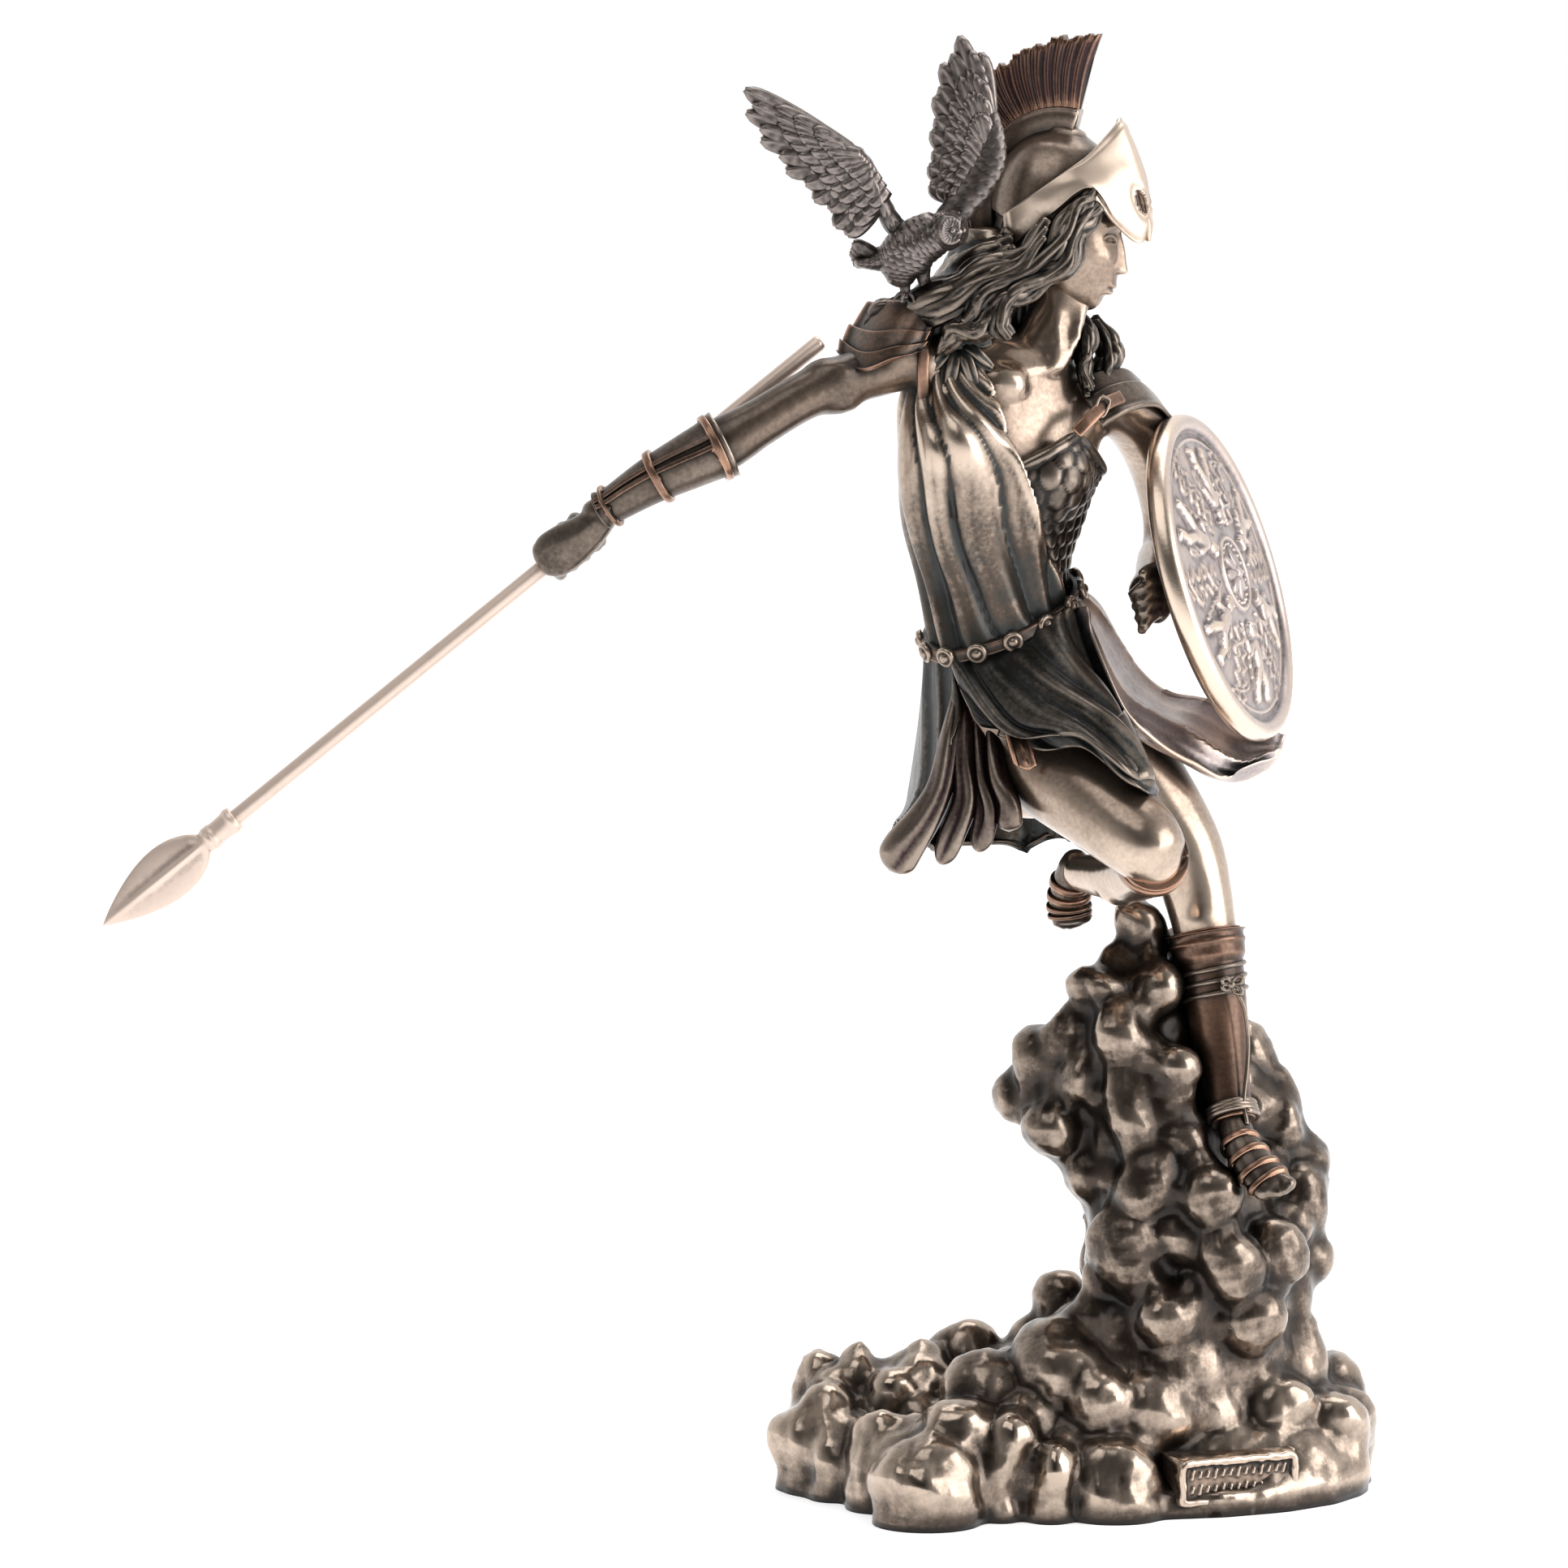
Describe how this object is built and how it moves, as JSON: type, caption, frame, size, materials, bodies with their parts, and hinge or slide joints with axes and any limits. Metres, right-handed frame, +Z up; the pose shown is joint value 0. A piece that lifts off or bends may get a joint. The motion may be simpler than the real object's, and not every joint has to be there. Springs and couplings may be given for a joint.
{
  "type": "statuette",
  "caption": "Helmeted warrior statuette with owl, round shield and long spear, striding off a column of clouds on a cloud-shaped base.",
  "frame": {"origin": "centre of the cloud base's flat underside", "axes": "+Z up from the underside, +X towards the side of the shield, -Y towards the side with the nameplate"},
  "size_m": [0.2856, 0.0926, 0.3323],
  "materials": {
    "cast_bronze": "bronze powder in resin, dark brown in the hollows and rubbed bright on the cloud tops",
    "figure_bronze": "bronze powder in resin, polished skin, grey-green patina in the dress, copper-red straps",
    "feather_bronze": "dark grey-brown bronze with copper tints and paler rubbed edges",
    "shield_bronze": "bronze with a bright rim and a pinkish-grey sunk field",
    "pale_gold": "pale matte gold paint"
  },
  "bodies": {
    "root": {"cloud_base": "cast_bronze", "athena_figure": "figure_bronze", "owl": "feather_bronze", "shield": "shield_bronze", "spear_shaft": "pale_gold", "spear_head": "pale_gold"}
  },
  "joints": []
}
